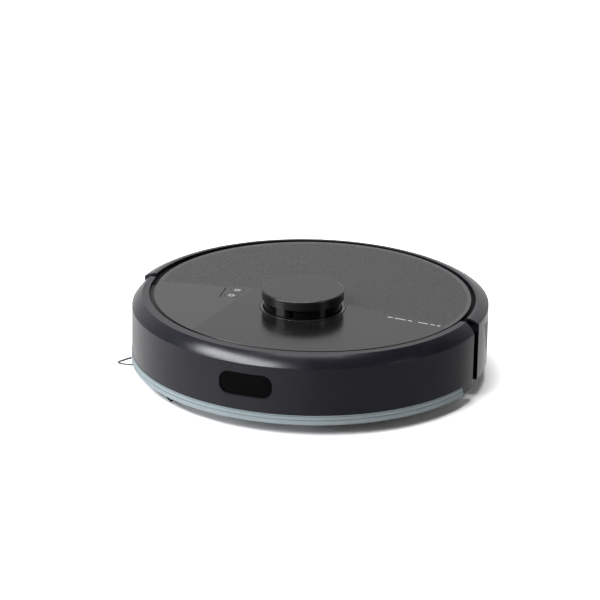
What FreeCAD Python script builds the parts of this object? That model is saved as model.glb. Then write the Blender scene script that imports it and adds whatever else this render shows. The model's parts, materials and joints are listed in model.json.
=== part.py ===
"""Round floor-cleaning robot with a laser turret, modelled as separate pieces.

Millimetres.  The origin is on the floor under the centre of the round body, +Z is up,
the robot drives towards -Y and its left side is +X.
"""
import FreeCAD, Part
import math
import os
from FreeCAD import Vector

os.makedirs("parts", exist_ok=True)

# ---------------------------------------------------------------- driving dimensions
BODY_R = 175.0          # outer radius of the side wall
FLOOR_GAP = 12.0        # clearance under the base plate
PLATE_T = 3.0           # base plate thickness
WALL_T = 2.2            # side wall thickness
CREASE_Z = 67.8         # where the bumper's wall turns into its bevel
REAR_CREASE_Z = 74.2    # the rear shell's bevel is flatter
REAR_BOTTOM_Z = 17.0    # the rear shell's wall stops short of the base plate
RIM_Z = 78.3            # flat lip at the top of the bevel
RIM_R = 165.3           # where the bevel reaches the flat lip, with a crisp edge
BEVEL_TURN = 20.0       # how far the bevel's slope turns between lip and crease
RIM_T = 2.2             # thickness of the flat lip
STRIP_TOP_Z = 21.2      # top of the ribbed skirt strip
STRIP_R = 175.6         # outer radius of the ribs
STRIP_BED_R = 173.4     # the strip sits in a rebate of this radius
STRIP_HALF_ANGLE = 78.0

PANEL_R = 155.6         # top panel
PANEL_X = 2.3           # the panel sits a little to the left of the body's axis
PANEL_Z = 78.8
PANEL_FLANGE_T = 0.35
PANEL_CORE_R = 147.0
PANEL_CORE_Z = 76.0
DECK_Z0 = 71.9
DECK_Z1 = 74.4
DECK_FRONT_R = 159.4
DECK_REAR_R = 163.4
RING_INNER_R = 162.2    # inner edge of the rear shell's lip

BUMPER_HALF_ANGLE = 85.0
BUMPER_TRAVEL = 5.0
BUMPER_RIM_R = 159.9    # inner edge of the bumper's lip, centred a little to the rear
BUMPER_RIM_SHIFT = 4.2
SHELL_HALF_ANGLE = 88.5  # the rear shell starts this far from straight ahead

LEVER_X = 84.0           # pivot of the left-hand switch lever
LEVER_PIVOT_Y = -118.0
LEVER_L = 20.0

WINDOW_HALF_W = 26.3
WINDOW_Z0 = 35.6
WINDOW_Z1 = 57.9
WINDOW_CORNER = 9.5

TURRET_X = 6.0
TURRET_Y = -38.0
CAP_R = 39.8
CAP_Z0 = 88.8
CAP_Z1 = 98.0
CAP_TRAVEL = 1.2
BAND_R = 37.5
BAND_Z0 = 77.5
ROTOR_R = 33.0

WHEEL_X = 114.0
WHEEL_Y = 18.0
WHEEL_R = 33.0
WHEEL_W = 16.0
ARM_PIVOT_Y = 59.0
ARM_PIVOT_Z = 44.0

CASTER_Y = -126.0
CASTER_R = 13.0
CASTER_TRAIL = 6.0

SIDE_BRUSH_X = -113.2
SIDE_BRUSH_Y = -74.5
SIDE_BRUSH_REACH = 66.4
SIDE_BRUSH_ANGLES = (170.0, 290.0, 50.0)

BRUSH_Y = 30.0
BRUSH_Z = 21.0
BRUSH_R = 20.4
BRUSH_CORE_R = 11.0
BRUSH_HALF_L = 80.0

BIN_HALF_W = 74.5
BIN_Y0 = 62.0
BIN_Z0 = 16.0
BIN_Z1 = 64.5

SPEAKER_X = -106.0
SPEAKER_Y = 100.0

BLOWER_X = 105.0
BLOWER_Y = 101.0

LEFT = 1
RIGHT = -1
UP = Vector(0, 0, 1)
PLATE_TOP = FLOOR_GAP + PLATE_T


# ---------------------------------------------------------------- small helpers
def box(x0, x1, y0, y1, z0, z1):
    """A block given by its limits along each axis."""
    return Part.makeBox(x1 - x0, y1 - y0, z1 - z0, Vector(x0, y0, z0))


def disc(r, z0, z1, x=0.0, y=0.0):
    """An upright cylinder."""
    return Part.makeCylinder(r, z1 - z0, Vector(x, y, z0), UP)


def tube(r0, r1, z0, z1, x=0.0, y=0.0):
    """An upright ring between two radii."""
    return disc(r1, z0, z1, x, y).cut(disc(r0, z0 - 1, z1 + 1, x, y))


def rod_x(r, x0, x1, y, z):
    """A cylinder lying along X."""
    return Part.makeCylinder(r, x1 - x0, Vector(x0, y, z), Vector(1, 0, 0))


def rod_y(r, y0, y1, x, z):
    """A cylinder lying along Y."""
    return Part.makeCylinder(r, y1 - y0, Vector(x, y0, z), Vector(0, 1, 0))


def rod(p, q, r):
    """A cylinder from point p to point q."""
    step = q.sub(p)
    return Part.makeCylinder(r, step.Length, p, step)


def at(r, degrees, z=0.0, x=0.0, y=0.0):
    """A point at a radius and an azimuth, counted from +X towards +Y."""
    turn = math.radians(degrees)
    return Vector(x + r * math.cos(turn), y + r * math.sin(turn), z)


def ring_sector(r0, r1, z0, z1, start, end):
    """Part of a ring between two azimuths."""
    outer = Part.makeCylinder(r1, z1 - z0, Vector(0, 0, z0), UP, end - start)
    inner = Part.makeCylinder(r0, z1 - z0 + 2, Vector(0, 0, z0 - 1), UP, 360)
    part = outer.cut(inner)
    part.rotate(Vector(0, 0, 0), UP, start)
    return part


def turned(edges, start, end):
    """Revolve a closed outline of the half plane y = 0 between two azimuths."""
    face = Part.Face(Part.Wire(edges))
    face.rotate(Vector(0, 0, 0), UP, start)
    return face.revolve(Vector(0, 0, 0), UP, end - start)


def outline(points):
    """Edges through points of the form (r, z), or (r, z, rm, zm) for an arc that
    reaches (r, z) by way of (rm, zm); the outline closes on the first point."""
    edges = []
    last = Vector(points[0][0], 0, points[0][1])
    for p in list(points[1:]) + [points[0][:2]]:
        here = Vector(p[0], 0, p[1])
        if len(p) == 4:
            edges.append(Part.Arc(last, Vector(p[2], 0, p[3]), here).toShape())
        else:
            edges.append(Part.LineSegment(last, here).toShape())
        last = here
    return edges


def fused(shapes):
    """One solid out of several that meet."""
    whole = shapes[0].multiFuse(shapes[1:])
    return whole.removeSplitter()


def cut_all(shape, tools):
    """Remove several tools from a shape."""
    return shape.cut(tools)


def group(shapes):
    """Separate solids that share one node."""
    return Part.makeCompound(shapes)


def stadium_y(half_w, z0, z1, corner, y0, y1, grow=0.0):
    """A rounded upright slab that runs along Y."""
    solid = box(-half_w - grow, half_w + grow, y0, y1, z0 - grow, z1 + grow)
    edges = [e for e in solid.Edges if abs(e.BoundBox.YLength - (y1 - y0)) < 1e-6]
    return solid.makeFillet(corner + grow, edges)


def loop_between(c0, r0, c1, r1):
    """The closed wire of a belt's path round two pulleys, in the XY plane."""
    line = c1.sub(c0)
    heading = math.atan2(line.y, line.x)
    lean = math.acos((r0 - r1) / line.Length)
    ends = []
    for side in (1, -1):
        a = heading + side * lean
        aim = Vector(math.cos(a), math.sin(a), 0)
        ends.append((c0.add(aim * r0), c1.add(aim * r1)))
    back = Vector(-math.cos(heading), -math.sin(heading), 0)
    edges = [
        Part.LineSegment(ends[0][0], ends[0][1]).toShape(),
        Part.Arc(ends[0][1], c1.sub(back * r1), ends[1][1]).toShape(),
        Part.LineSegment(ends[1][1], ends[1][0]).toShape(),
        Part.Arc(ends[1][0], c0.add(back * r0), ends[0][0]).toShape(),
    ]
    return Part.Wire(edges)


def belt(c0, r0, c1, r1, gap, thick, width):
    """A flat belt that runs a little clear of its two pulleys, standing along +Z."""
    outer = Part.Face(loop_between(c0, r0 + gap + thick, c1, r1 + gap + thick))
    inner = Part.Face(loop_between(c0, r0 + gap, c1, r1 + gap))
    return outer.extrude(UP * width).cut(inner.extrude(UP * width))


def mirrored(shape):
    """The same piece on the robot's other side."""
    return shape.mirror(Vector(0, 0, 0), Vector(1, 0, 0))


def save(name, shape):
    """Write one node."""
    shape.exportStep("parts/" + name + ".step")


# ---------------------------------------------------------------- shared wall profile
BEVEL_RUN = BODY_R - RIM_R
WALL_IN_R = BODY_R - WALL_T


def bevel_arc(crease_z, turning):
    """Centre, radius and start of the arc from the lip to the crease."""
    rise = RIM_Z - crease_z
    radius = math.hypot(BEVEL_RUN, rise) / (2 * math.sin(math.radians(turning / 2)))
    tilt = 90.0 - math.degrees(math.atan2(rise, BEVEL_RUN)) + turning / 2
    centre_r = RIM_R - radius * math.cos(math.radians(tilt))
    centre_z = RIM_Z - radius * math.sin(math.radians(tilt))
    return centre_r, centre_z, radius, tilt, turning


def bevel_point(arc, share, inset=0.0):
    """A point on the bevel's arc: share 0 is the lip, 1 is the crease."""
    centre_r, centre_z, radius, tilt, turning = arc
    lean = math.radians(tilt - turning * share)
    r = centre_r + (radius - inset) * math.cos(lean)
    z = centre_z + (radius - inset) * math.sin(lean)
    return r, z


def wall_outline(lip_r, skirt_z, bottom_z, crease_z, turning):
    """Section of a side wall with its bevel and lip; a skirt hangs off the lip's edge."""
    arc = bevel_arc(crease_z, turning)
    middle_out = bevel_point(arc, 0.5)
    middle_in = bevel_point(arc, 0.45, RIM_T)
    low_in = bevel_point(arc, 0.85, RIM_T)
    points = [
        (WALL_IN_R, bottom_z),
        (BODY_R, bottom_z),
        (BODY_R, crease_z),
        (RIM_R, RIM_Z) + middle_out,
        (lip_r, RIM_Z),
        (lip_r, skirt_z),
    ]
    if skirt_z < RIM_Z - RIM_T:
        points.append((lip_r + 1.2, skirt_z))
        points.append((lip_r + 1.2, RIM_Z - RIM_T))
    points.append((RIM_R - 0.9, RIM_Z - RIM_T))
    points.append(low_in + middle_in)
    points.append((WALL_IN_R, low_in[1] - 1.0))
    return outline(points)


def spoke(degrees, r0, r1, z0, z1, thick):
    """An upright radial rib."""
    rib = box(r0, r1, -thick / 2, thick / 2, z0, z1)
    rib.rotate(Vector(0, 0, 0), UP, degrees)
    return rib


# ---------------------------------------------------------------- bumper
FRONT = -90.0
bumper_start = FRONT - BUMPER_HALF_ANGLE
bumper_end = FRONT + BUMPER_HALF_ANGLE

LEVER_TIP_R = math.hypot(LEVER_X + LEVER_L, LEVER_PIVOT_Y)
LEVER_TIP_ANGLE = math.degrees(math.atan2(LEVER_PIVOT_Y, LEVER_X + LEVER_L))

strip_bed = ring_sector(
    STRIP_BED_R, BODY_R + 5, FLOOR_GAP - 1, STRIP_TOP_Z,
    FRONT - STRIP_HALF_ANGLE, FRONT + STRIP_HALF_ANGLE)
strip_ends = []
for side in (RIGHT, LEFT):
    blade = box(BODY_R - 12, BODY_R + 12, 0, 30, -20, 20)
    blade.rotate(Vector(BODY_R, 0, 0), Vector(1, 0, 0), 24.0)
    blade.translate(Vector(0, 0, STRIP_TOP_Z))
    blade.rotate(Vector(0, 0, 0), UP, STRIP_HALF_ANGLE - 1.2)
    if side == RIGHT:
        blade = blade.mirror(Vector(0, 0, 0), Vector(0, 1, 0))
    blade.rotate(Vector(0, 0, 0), UP, FRONT)
    strip_ends.append(blade)
strip_bed = cut_all(strip_bed, strip_ends)

bumper = turned(
    wall_outline(150.0, RIM_Z - RIM_T, FLOOR_GAP, CREASE_Z, BEVEL_TURN),
    bumper_start, bumper_end)
lip_cut = disc(BUMPER_RIM_R, RIM_Z - 10, RIM_Z + 5, 0, BUMPER_RIM_SHIFT)
bumper = bumper.cut(lip_cut)
backing = ring_sector(
    BODY_R - 4.4, WALL_IN_R + 0.5, FLOOR_GAP, STRIP_TOP_Z + 2, bumper_start, bumper_end)
end_ribs = [
    spoke(bumper_start + 0.45, 167.0, WALL_IN_R + 0.5, FLOOR_GAP, 64.0, 2.0),
    spoke(bumper_end - 0.45, 167.0, WALL_IN_R + 0.5, FLOOR_GAP, 64.0, 2.0),
    spoke(LEVER_TIP_ANGLE, LEVER_TIP_R + 4.0, WALL_IN_R + 0.5, 46.0, 52.0, 4.0),
    spoke(180 - LEVER_TIP_ANGLE, LEVER_TIP_R + 4.0, WALL_IN_R + 0.5, 46.0, 52.0, 4.0),
]
bumper = fused([bumper, backing] + end_ribs)
bumper = bumper.cut(strip_bed)
window_hole = stadium_y(
    WINDOW_HALF_W, WINDOW_Z0, WINDOW_Z1, WINDOW_CORNER, -BODY_R - 10, -160)
window_step = ring_sector(BODY_R - 0.8, BODY_R + 5, 30, 64, FRONT - 12, FRONT + 12)
window_step = window_step.common(stadium_y(
    WINDOW_HALF_W, WINDOW_Z0, WINDOW_Z1, WINDOW_CORNER, -BODY_R - 10, -160, 0.8))
bumper = bumper.cut(window_hole).cut(window_step)
upright = []
for edge in bumper.Edges:
    span = edge.BoundBox
    corner = math.hypot(span.Center.x, span.Center.y)
    near_end = span.Center.y > -BODY_R * math.cos(math.radians(80.0))
    if span.ZLength > 40 and corner > BODY_R - 0.2 and near_end:
        upright.append(edge)
bumper = bumper.makeFillet(1.9, upright)
save("bumper_shell", bumper)

strip = ring_sector(
    STRIP_BED_R, STRIP_R, FLOOR_GAP, STRIP_TOP_Z - 0.1,
    FRONT - STRIP_HALF_ANGLE, FRONT + STRIP_HALF_ANGLE)
strip = strip.common(strip_bed)
grooves = []
for groove_z in (16.3, 19.9):
    grooves.append(ring_sector(
        STRIP_R - 0.7, STRIP_R + 2, groove_z, groove_z + 0.5, FRONT - 90, FRONT + 90))
strip = cut_all(strip, grooves)
save("bumper_strip", strip)

pane = ring_sector(BODY_R - 4.0, BODY_R - 1.9, 30, 64, FRONT - 12, FRONT + 12)
pane = pane.common(stadium_y(
    WINDOW_HALF_W, WINDOW_Z0, WINDOW_Z1, WINDOW_CORNER, -BODY_R - 10, -160, -0.12))
pane_flange = ring_sector(BODY_R - 4.4, BODY_R - 2.3, 30, 64, FRONT - 12, FRONT + 12)
pane_flange = pane_flange.common(stadium_y(
    WINDOW_HALF_W, WINDOW_Z0, WINDOW_Z1, WINDOW_CORNER, -BODY_R - 10, -160, 3.0))
save("ir_window", fused([pane, pane_flange]))

sensor_board = box(-24, 24, -162.4, -160.8, 38, 56)
emitters = []
for emitter_x in (-18.0, -7.0, 7.0, 18.0):
    emitters.append(rod_y(2.5, -166.0, -162.4, emitter_x, 47.0))
    emitters.append(Part.makeSphere(2.5, Vector(emitter_x, -166.0, 47.0)))
save("ir_sensor_board", fused([sensor_board] + emitters))

# Rocker levers that carry the bumper's push to its switches.
lever = fused([
    disc(4.0, 46, 52, LEVER_X, LEVER_PIVOT_Y),
    box(LEVER_X, LEVER_X + LEVER_L, LEVER_PIVOT_Y - 2, LEVER_PIVOT_Y + 2, 47, 51),
    disc(2.6, 46, 52, LEVER_X + LEVER_L, LEVER_PIVOT_Y),
])
lever = lever.cut(disc(2.05, 40, 60, LEVER_X, LEVER_PIVOT_Y))
save("bumper_lever_left", lever)
save("bumper_lever_right", mirrored(lever))

# ---------------------------------------------------------------- base plate
plate = disc(165.0, FLOOR_GAP, PLATE_TOP).fuse(
    disc(168.0, FLOOR_GAP, PLATE_TOP).common(box(-200, 200, 6, 200, 0, 50)))

WELL_X0 = 94.0
WELL_X1 = 126.0
WELL_Y0 = -20.0
WELL_Y1 = 71.0
WELL_TOP = 68.6
WELL_T = 2.0


def wheel_well(side):
    """The box over a drive wheel, open underneath, on one side."""
    outer = box(WELL_X0 - WELL_T, WELL_X1 + WELL_T, WELL_Y0 - WELL_T, WELL_Y1 + WELL_T,
                PLATE_TOP - 1, WELL_TOP + WELL_T)
    inner = box(WELL_X0, WELL_X1, WELL_Y0, WELL_Y1, 0, WELL_TOP)
    well = outer.cut(inner)
    return well if side == LEFT else mirrored(well)


front_wall = ring_sector(153.0, 156.5, PLATE_TOP - 1, DECK_Z0, FRONT - 84, FRONT + 84)
front_wall = cut_all(front_wall, [
    box(-28, 28, -160, -140, 34, 60),
    box(90, 114, -132, -102, 43, 55),
    box(-114, -90, -132, -102, 43, 55),
])
lever_posts = [
    disc(2.0, PLATE_TOP - 1, 54, LEVER_X, LEVER_PIVOT_Y),
    disc(2.0, PLATE_TOP - 1, 54, -LEVER_X, LEVER_PIVOT_Y),
    disc(4.0, PLATE_TOP - 1, 45.6, LEVER_X, LEVER_PIVOT_Y),
    disc(4.0, PLATE_TOP - 1, 45.6, -LEVER_X, LEVER_PIVOT_Y),
]
deck_posts = []
for post_x, post_y in ((-88, 135), (88, 135), (-141, -38), (141, -38), (-45, -138), (45, -138)):
    deck_posts.append(disc(4.0, PLATE_TOP - 1, DECK_Z0, post_x, post_y))
base = fused([plate, front_wall, wheel_well(LEFT), wheel_well(RIGHT)] + lever_posts + deck_posts)

BATTERY_X0 = -68.0
BATTERY_X1 = 72.0
BATTERY_Y0 = -97.0
BATTERY_Y1 = -58.0
MOUTH_HALF_W = 84.0
MOUTH_Y0 = 8.0
MOUTH_Y1 = 52.0
CONTACT_X = 45.0
CONTACT_Y = -138.0
CLIFF_SPOTS = ((155.0, -60.0), (155.0, -120.0), (150.0, -14.0), (150.0, -166.0))

openings = [
    box(WELL_X0, WELL_X1, WELL_Y0, WELL_Y1, 0, 20),
    box(-WELL_X1, -WELL_X0, WELL_Y0, WELL_Y1, 0, 20),
    box(-MOUTH_HALF_W, MOUTH_HALF_W, MOUTH_Y0, MOUTH_Y1, 0, 20),
    box(-91, -84, BRUSH_Y - 11, BRUSH_Y + 11, PLATE_TOP - 1.6, 20),
    box(BATTERY_X0 - 3, BATTERY_X1 + 3, BATTERY_Y0 - 3, BATTERY_Y1 + 3, 0, 20),
    disc(24.6, 0, 20, 0, CASTER_Y),
    disc(13.0, 0, 20, SIDE_BRUSH_X, SIDE_BRUSH_Y),
    box(CONTACT_X - 12, CONTACT_X + 12, CONTACT_Y - 4.5, CONTACT_Y + 4.5, 0, 13.4),
    box(-CONTACT_X - 12, -CONTACT_X + 12, CONTACT_Y - 4.5, CONTACT_Y + 4.5, 0, 13.4),
]
for cliff_r, cliff_a in CLIFF_SPOTS:
    slot = box(cliff_r - 4.2, cliff_r + 4.2, -9.2, 9.2, 0, PLATE_TOP - 0.8)
    slot.rotate(Vector(0, 0, 0), UP, cliff_a)
    openings.append(slot)
for grille in range(5):
    grille_y = SPEAKER_Y - 13.2 + 6 * grille
    openings.append(box(SPEAKER_X - 12, SPEAKER_X + 12, grille_y, grille_y + 2.4, 0, 20))
SCREW_SPOTS = ((-140, 62), (140, 62), (-60, 118), (60, 118), (-150, -20), (84, -50),
               (-30, -118), (30, -118), (-92, -104), (100, -96))
for screw_x, screw_y in SCREW_SPOTS:
    openings.append(disc(3.1, 0, PLATE_TOP - 1.2, screw_x, screw_y))
base = cut_all(base, openings)
pin_holes = [
    rod_x(3.0, WELL_X0 - 5, WELL_X1 + 5, ARM_PIVOT_Y, ARM_PIVOT_Z),
    rod_x(3.0, -WELL_X1 - 5, -WELL_X0 + 5, ARM_PIVOT_Y, ARM_PIVOT_Z),
]
base = cut_all(base, pin_holes)
save("base_chassis", base)

screws = []
for screw_x, screw_y in SCREW_SPOTS:
    head = disc(2.9, FLOOR_GAP + 0.3, PLATE_TOP - 1.3, screw_x, screw_y)
    cross = [
        box(screw_x - 1.7, screw_x + 1.7, screw_y - 0.35, screw_y + 0.35, 0, FLOOR_GAP + 1),
        box(screw_x - 0.35, screw_x + 0.35, screw_y - 1.7, screw_y + 1.7, 0, FLOOR_GAP + 1),
    ]
    screws.append(cut_all(head, cross))
save("chassis_screws", group(screws))

contacts = []
for contact_x in (-CONTACT_X, CONTACT_X):
    contacts.append(box(contact_x - 11.5, contact_x + 11.5, CONTACT_Y - 4, CONTACT_Y + 4,
                        FLOOR_GAP - 0.6, 13.3))
save("charging_contacts", group(contacts))

cliff_windows = []
for cliff_r, cliff_a in CLIFF_SPOTS:
    pane = box(cliff_r - 4, cliff_r + 4, -9, 9, FLOOR_GAP, PLATE_TOP - 0.9)
    pane.rotate(Vector(0, 0, 0), UP, cliff_a)
    cliff_windows.append(pane)
save("cliff_sensors", group(cliff_windows))

# ---------------------------------------------------------------- rear shell
shell_start = FRONT + SHELL_HALF_ANGLE
shell_end = FRONT + 360 - SHELL_HALF_ANGLE
rear_shell = turned(
    wall_outline(RING_INNER_R, DECK_Z1 + 0.1, REAR_BOTTOM_Z, REAR_CREASE_Z, 16.0),
    shell_start, shell_end)
shell_ribs = [
    spoke(shell_start + 0.45, 160.5, WALL_IN_R + 0.5, REAR_BOTTOM_Z, 71.8, 2.0),
    spoke(shell_end - 0.45, 160.5, WALL_IN_R + 0.5, REAR_BOTTOM_Z, 71.8, 2.0),
]
rear_shell = fused([rear_shell] + shell_ribs)
VENT_COUNT = 9
VENT_PITCH = 4.0
VENT_Z0 = 31.0
VENT_H = 2.0
shell_cuts = []
for vent in range(VENT_COUNT):
    vent_z = VENT_Z0 + VENT_PITCH * vent
    vent_start = 5.2 + 0.55 * (VENT_COUNT - vent)
    vent_end = 27.5 - 0.35 * vent
    shell_cuts.append(ring_sector(
        WALL_IN_R - 1, BODY_R + 1, vent_z, vent_z + VENT_H, vent_start, vent_end))
shell_cuts.append(box(-BIN_HALF_W - 1, BIN_HALF_W + 1, 120, 200, PLATE_TOP, BIN_Z1 + 1))
rear_shell = cut_all(rear_shell, shell_cuts)
save("rear_shell", rear_shell)
save("exhaust_foam", ring_sector(WALL_IN_R - 2.4, WALL_IN_R - 0.2, 29, 67, 5, 30))

# ---------------------------------------------------------------- deck and top panel
BUTTON_R = 6.8
BUTTON_SPOTS = {"power_button": (-69.5, -19.1), "home_button": (-69.4, -35.2)}
STATUS_ENDS = (Vector(-82.4, -16.5, 0), Vector(-78.4, -44.3, 0))

deck = disc(DECK_FRONT_R, DECK_Z0, DECK_Z1)
deck_rear = disc(DECK_REAR_R, DECK_Z0, DECK_Z1).common(box(-200, 200, -2, 200, 60, 90))
deck = fused([deck, deck_rear])
deck_cuts = [disc(38.2, 60, 90, TURRET_X, TURRET_Y)]
for name in BUTTON_SPOTS:
    button_x, button_y = BUTTON_SPOTS[name]
    deck_cuts.append(disc(3.0, 60, 90, button_x, button_y))
deck = cut_all(deck, deck_cuts)
save("top_deck", deck)

panel = turned(outline([
    (0, PANEL_CORE_Z), (PANEL_CORE_R - 8, PANEL_CORE_Z), (PANEL_CORE_R - 8, DECK_Z1),
    (PANEL_CORE_R, DECK_Z1), (PANEL_CORE_R, PANEL_Z - PANEL_FLANGE_T),
    (PANEL_R, PANEL_Z - PANEL_FLANGE_T), (PANEL_R, PANEL_Z - 0.25),
    (PANEL_R - 0.25, PANEL_Z), (0, PANEL_Z)]), 0, 360)
panel.translate(Vector(PANEL_X, 0, 0))
status_slot = box(-14.0, 14.0, -0.55, 0.55, PANEL_Z - 0.7, PANEL_Z + 1)
status_bar = box(-13.95, 13.95, -0.5, 0.5, PANEL_Z - 0.7, PANEL_Z - 0.15)
status_line = STATUS_ENDS[1].sub(STATUS_ENDS[0])
status_turn = math.degrees(math.atan2(status_line.y, status_line.x))
status_middle = STATUS_ENDS[0].add(STATUS_ENDS[1]) * 0.5
for piece in (status_slot, status_bar):
    piece.rotate(Vector(0, 0, 0), UP, status_turn)
    piece.translate(status_middle)
panel_cuts = [disc(41.8, 60, 90, TURRET_X, TURRET_Y), status_slot]
for name in BUTTON_SPOTS:
    button_x, button_y = BUTTON_SPOTS[name]
    panel_cuts.append(disc(BUTTON_R + 0.3, 60, 90, button_x, button_y))
panel = cut_all(panel, panel_cuts)
save("top_panel", panel)
save("status_light", status_bar)

BUTTON_TRAVEL = 0.8
for name in BUTTON_SPOTS:
    button_x, button_y = BUTTON_SPOTS[name]
    cap = disc(BUTTON_R, PANEL_CORE_Z + 0.4, PANEL_Z + 0.1, button_x, button_y)
    cap = cap.makeChamfer(0.25, [cap.Edges[0]])
    stem = disc(2.0, DECK_Z0 + 0.4, PANEL_CORE_Z + 1, button_x, button_y)
    save(name, fused([cap, stem]))

switch_board = box(-78, -58, -44, -10, 67.6, 69.2)
switches = []
for name in BUTTON_SPOTS:
    button_x, button_y = BUTTON_SPOTS[name]
    switches.append(box(button_x - 3, button_x + 3, button_y - 3, button_y + 3, 69.0, 70.6))
    switches.append(disc(1.5, 70.4, 71.4, button_x, button_y))
save("button_board", fused([switch_board] + switches))

# ---------------------------------------------------------------- turret
turret_ring = turned(outline([
    (38.4, DECK_Z1), (41.2, DECK_Z1), (41.2, PANEL_Z + 0.3), (40.9, PANEL_Z + 0.6),
    (38.7, PANEL_Z + 0.6), (38.4, PANEL_Z + 0.3)]), 0, 360)
turret_ring.translate(Vector(TURRET_X, TURRET_Y, 0))
save("turret_base_ring", turret_ring)

cap_round = 1.4
cap_knee = cap_round * (1 - math.sqrt(0.5))
cap = turned(outline([
    (0, CAP_Z1 - 3.0), (BAND_R + 0.2, CAP_Z1 - 3.0), (BAND_R + 0.2, CAP_Z0), (CAP_R, CAP_Z0),
    (CAP_R, CAP_Z1 - cap_round),
    (CAP_R - cap_round, CAP_Z1, CAP_R - cap_knee, CAP_Z1 - cap_knee),
    (0, CAP_Z1)]), 0, 360)
cap.translate(Vector(TURRET_X, TURRET_Y, 0))
save("turret_cap", cap)

band = tube(BAND_R - 2.0, BAND_R, BAND_Z0, CAP_Z1 - 3.2)
band_slot = box(BAND_R - 5, BAND_R + 5, -2.0, 2.0, BAND_Z0 + 3.0, CAP_Z0 + 2)
band_slot.rotate(Vector(0, 0, 0), UP, FRONT + 3.0)
band = band.cut(band_slot)
band.translate(Vector(TURRET_X, TURRET_Y, 0))
save("turret_band", band)

LIDAR_PULLEY_R = 30.0
LIDAR_MOTOR_PULLEY_R = 6.0
LIDAR_MOTOR_X = 62.0
LIDAR_MOTOR_Y = -46.0
rotor = fused([
    disc(ROTOR_R, 70.2, 90.0, TURRET_X, TURRET_Y),
    disc(LIDAR_PULLEY_R, 65.0, 70.4, TURRET_X, TURRET_Y),
    tube(LIDAR_PULLEY_R - 2, LIDAR_PULLEY_R + 1.6, 63.6, 65.2, TURRET_X, TURRET_Y),
])
rotor_window = box(TURRET_X - 14, TURRET_X + 14, TURRET_Y - ROTOR_R - 2, TURRET_Y - ROTOR_R + 9,
                   77.0, 87.5)
rotor_cuts = [disc(5.05, 60, 73, TURRET_X, TURRET_Y), rotor_window]
rotor = cut_all(rotor, rotor_cuts)
lenses = [
    rod_y(4.5, TURRET_Y - ROTOR_R + 2.5, TURRET_Y - ROTOR_R + 9.2, TURRET_X - 8, 82.0),
    rod_y(4.5, TURRET_Y - ROTOR_R + 2.5, TURRET_Y - ROTOR_R + 9.2, TURRET_X + 8, 82.0),
]
save("lidar_rotor", fused([rotor] + lenses))

lidar_base = fused([
    disc(32.0, 60.2, 62.6, TURRET_X, TURRET_Y),
    disc(5.0, 62.4, 72.0, TURRET_X, TURRET_Y),
    box(TURRET_X, LIDAR_MOTOR_X + 13, LIDAR_MOTOR_Y - 13, LIDAR_MOTOR_Y + 13, 60.2, 62.6),
    box(TURRET_X - 3, TURRET_X + 3, TURRET_Y - 31.5, TURRET_Y - 25, 40, 60.4),
])
lidar_base = lidar_base.cut(disc(3.0, 50, 70, LIDAR_MOTOR_X, LIDAR_MOTOR_Y))
save("lidar_base", lidar_base)
save("lidar_motor", disc(11.0, 46.0, 60.1, LIDAR_MOTOR_X, LIDAR_MOTOR_Y))
motor_pulley = fused([
    disc(LIDAR_MOTOR_PULLEY_R, 65.2, 70.0, LIDAR_MOTOR_X, LIDAR_MOTOR_Y),
    disc(LIDAR_MOTOR_PULLEY_R + 2, 64.0, 65.2, LIDAR_MOTOR_X, LIDAR_MOTOR_Y),
    disc(2.0, 60.6, 64.2, LIDAR_MOTOR_X, LIDAR_MOTOR_Y),
])
save("lidar_motor_pulley", motor_pulley)
lidar_belt = belt(
    Vector(TURRET_X, TURRET_Y, 0), LIDAR_PULLEY_R, Vector(LIDAR_MOTOR_X, LIDAR_MOTOR_Y, 0),
    LIDAR_MOTOR_PULLEY_R, 0.4, 0.9, 3.6)
lidar_belt.translate(Vector(0, 0, 65.8))
save("lidar_belt", lidar_belt)

# ---------------------------------------------------------------- drive wheels
AXLE_R = 4.0


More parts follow.
